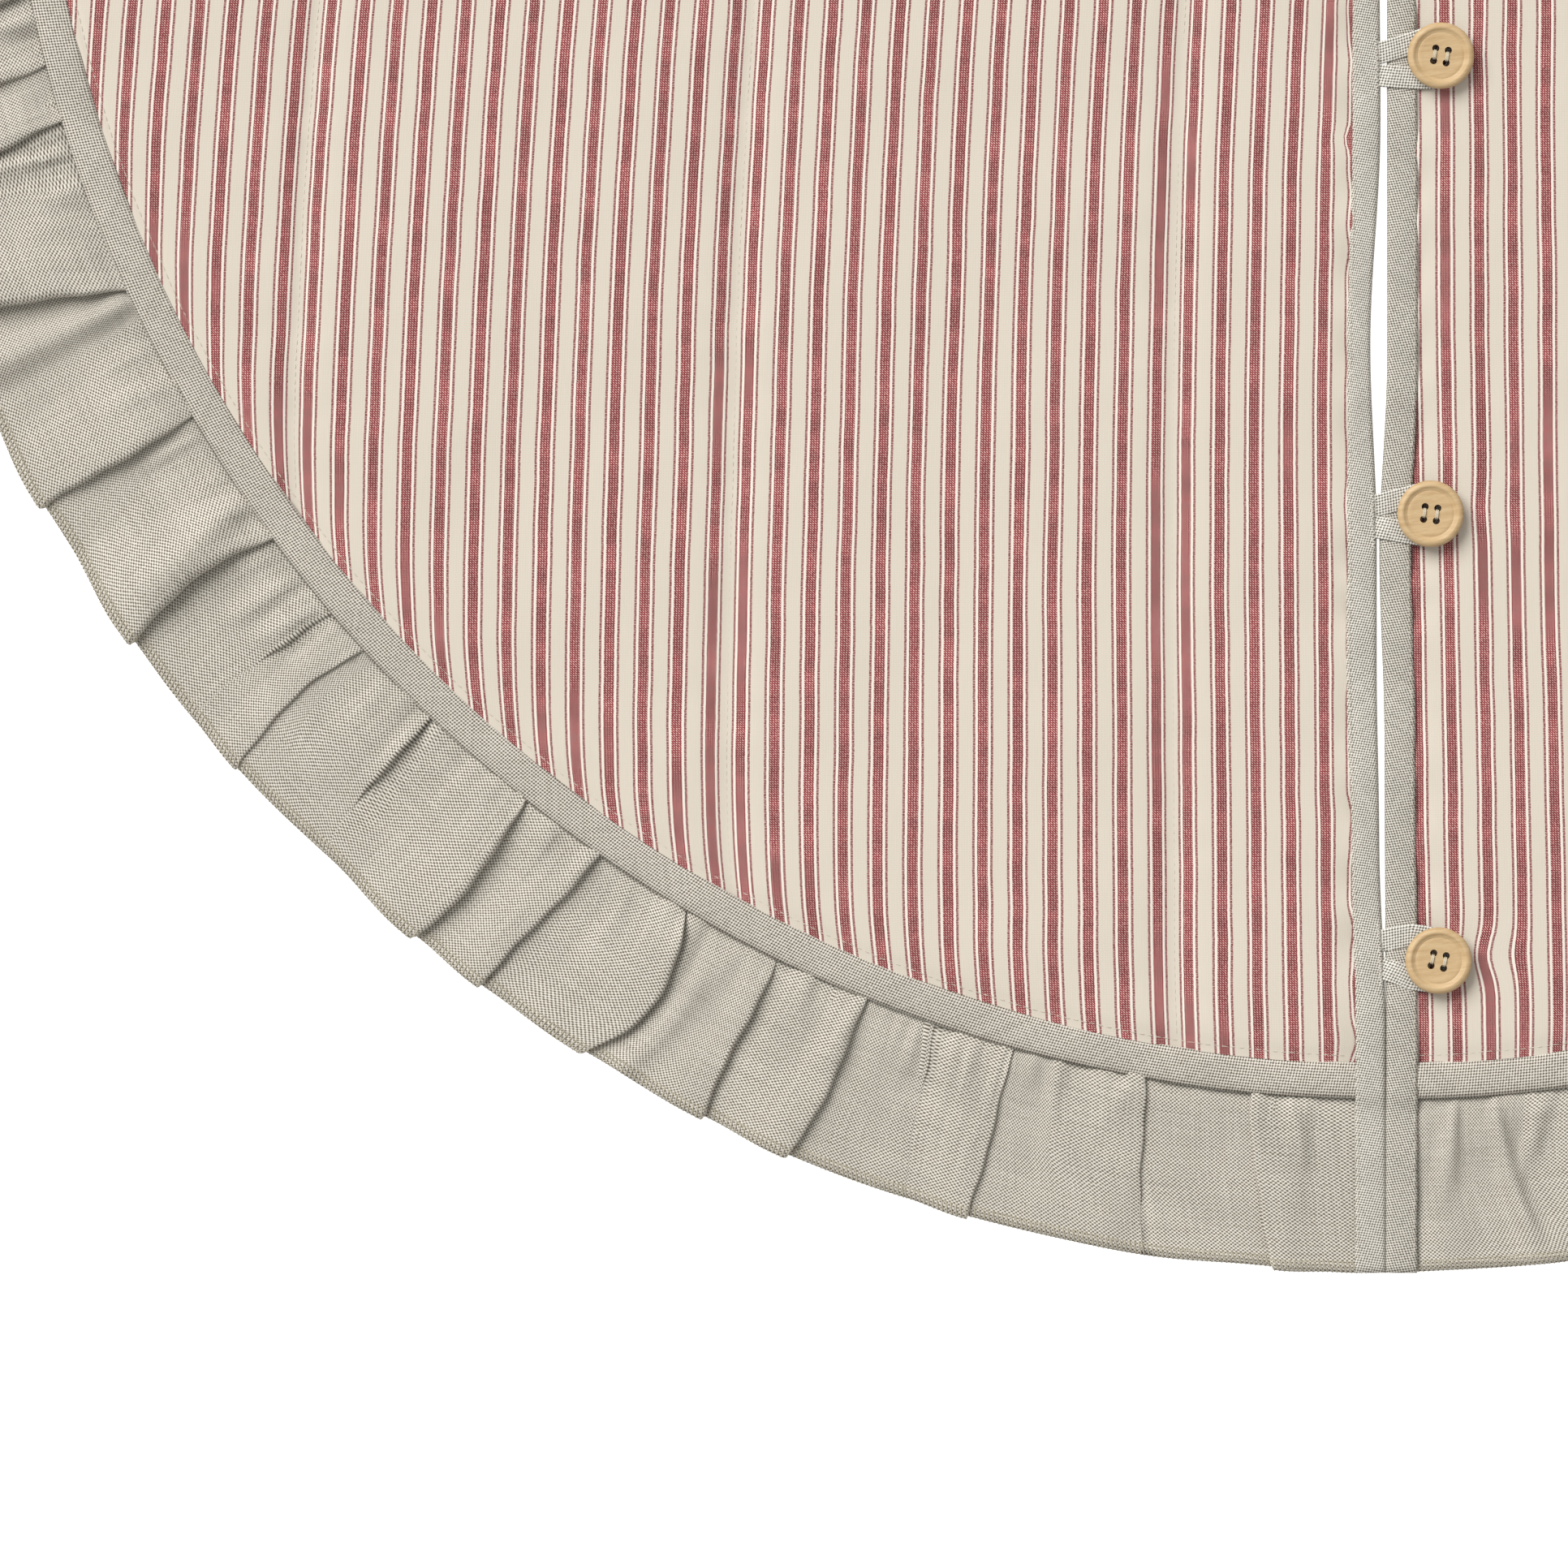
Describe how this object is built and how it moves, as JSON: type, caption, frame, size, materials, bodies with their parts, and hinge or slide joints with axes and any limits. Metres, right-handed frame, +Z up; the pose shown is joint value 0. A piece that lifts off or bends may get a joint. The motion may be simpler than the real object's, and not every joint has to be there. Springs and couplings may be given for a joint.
{
  "type": "tree skirt",
  "caption": "Round floor skirt for a Christmas tree: striped quilted top, pleated linen ruffle, bound slit with wooden buttons and linen loops, and a trunk hole.",
  "frame": {"origin": "middle of the trunk hole, on the floor under the skirt", "axes": "+Z up out of the floor, -Y along the buttoned slit, +X towards the button side of the slit"},
  "size_m": [1.22, 1.2199, 0.0121],
  "materials": {
    "ticking": "cream cotton ticking with woven red stripes",
    "linen": "grey-beige linen weave",
    "batting": "soft white cotton wadding",
    "lining": "plain cream cotton",
    "wood": "pale turned wood, satin",
    "thread": "cream cotton thread"
  },
  "bodies": {
    "back_half": {"lining_back": "lining", "batting_back": "batting", "ticking_top_back": "ticking", "band_back": "linen", "ruffle_back": "linen", "neck_binding_back": "linen"},
    "front_left": {"lining_left": "lining", "batting_left": "batting", "ticking_top_left": "ticking", "band_left": "linen", "ruffle_left": "linen", "neck_binding_left": "linen", "slit_binding_left": "linen"},
    "front_right": {"lining_right": "lining", "batting_right": "batting", "ticking_top_right": "ticking", "band_right": "linen", "ruffle_right": "linen", "neck_binding_right": "linen", "slit_binding_right": "linen"},
    "loop_1": {"loop_1": "linen"},
    "button_shank_1": {"button_shank_1": "thread"},
    "button_1": {"button_1": "wood", "button_thread_1": "thread"},
    "loop_2": {"loop_2": "linen"},
    "button_shank_2": {"button_shank_2": "thread"},
    "button_2": {"button_2": "wood", "button_thread_2": "thread"},
    "loop_3": {"loop_3": "linen"},
    "button_shank_3": {"button_shank_3": "thread"},
    "button_3": {"button_3": "wood", "button_thread_3": "thread"}
  },
  "joints": [
    {"name": "front_left_fold", "type": "hinge", "parent": "back_half", "child": "front_left", "pos_m": [0, 0, 0.012], "axis": [-1, 0, 0], "range_deg": [0, 178]},
    {"name": "front_right_fold", "type": "hinge", "parent": "back_half", "child": "front_right", "pos_m": [0, 0, 0.012], "axis": [-1, 0, 0], "range_deg": [0, 178]},
    {"name": "loop_1_undo", "type": "hinge", "parent": "front_left", "child": "loop_1", "pos_m": [-0.0014, -0.1326, 0.0061], "axis": [0, -1, 0], "range_deg": [0, 165], "deforming": ["loop_1"]},
    {"name": "button_1_tilt", "type": "hinge", "parent": "front_right", "child": "button_shank_1", "pos_m": [0.022, -0.1326, 0.0046], "axis": [0, 1, 0], "range_deg": [-8, 8], "stiffness_Nm_per_rad": 0.004},
    {"name": "button_1_twist", "type": "hinge", "parent": "button_shank_1", "child": "button_1", "pos_m": [0.022, -0.1326, 0.0071], "axis": [0, 0, 1], "range_deg": [-25, 25], "stiffness_Nm_per_rad": 0.002},
    {"name": "loop_2_undo", "type": "hinge", "parent": "front_left", "child": "loop_2", "pos_m": [-0.0014, -0.3113, 0.0061], "axis": [0, -1, 0], "range_deg": [0, 165], "deforming": ["loop_2"]},
    {"name": "button_2_tilt", "type": "hinge", "parent": "front_right", "child": "button_shank_2", "pos_m": [0.018, -0.3113, 0.0046], "axis": [0, 1, 0], "range_deg": [-8, 8], "stiffness_Nm_per_rad": 0.004},
    {"name": "button_2_twist", "type": "hinge", "parent": "button_shank_2", "child": "button_2", "pos_m": [0.018, -0.3113, 0.0071], "axis": [0, 0, 1], "range_deg": [-25, 25], "stiffness_Nm_per_rad": 0.002},
    {"name": "loop_3_undo", "type": "hinge", "parent": "front_left", "child": "loop_3", "pos_m": [-0.0014, -0.4856, 0.0061], "axis": [0, -1, 0], "range_deg": [0, 165], "deforming": ["loop_3"]},
    {"name": "button_3_tilt", "type": "hinge", "parent": "front_right", "child": "button_shank_3", "pos_m": [0.0211, -0.4856, 0.0046], "axis": [0, 1, 0], "range_deg": [-8, 8], "stiffness_Nm_per_rad": 0.004},
    {"name": "button_3_twist", "type": "hinge", "parent": "button_shank_3", "child": "button_3", "pos_m": [0.0211, -0.4856, 0.0071], "axis": [0, 0, 1], "range_deg": [-25, 25], "stiffness_Nm_per_rad": 0.002}
  ]
}
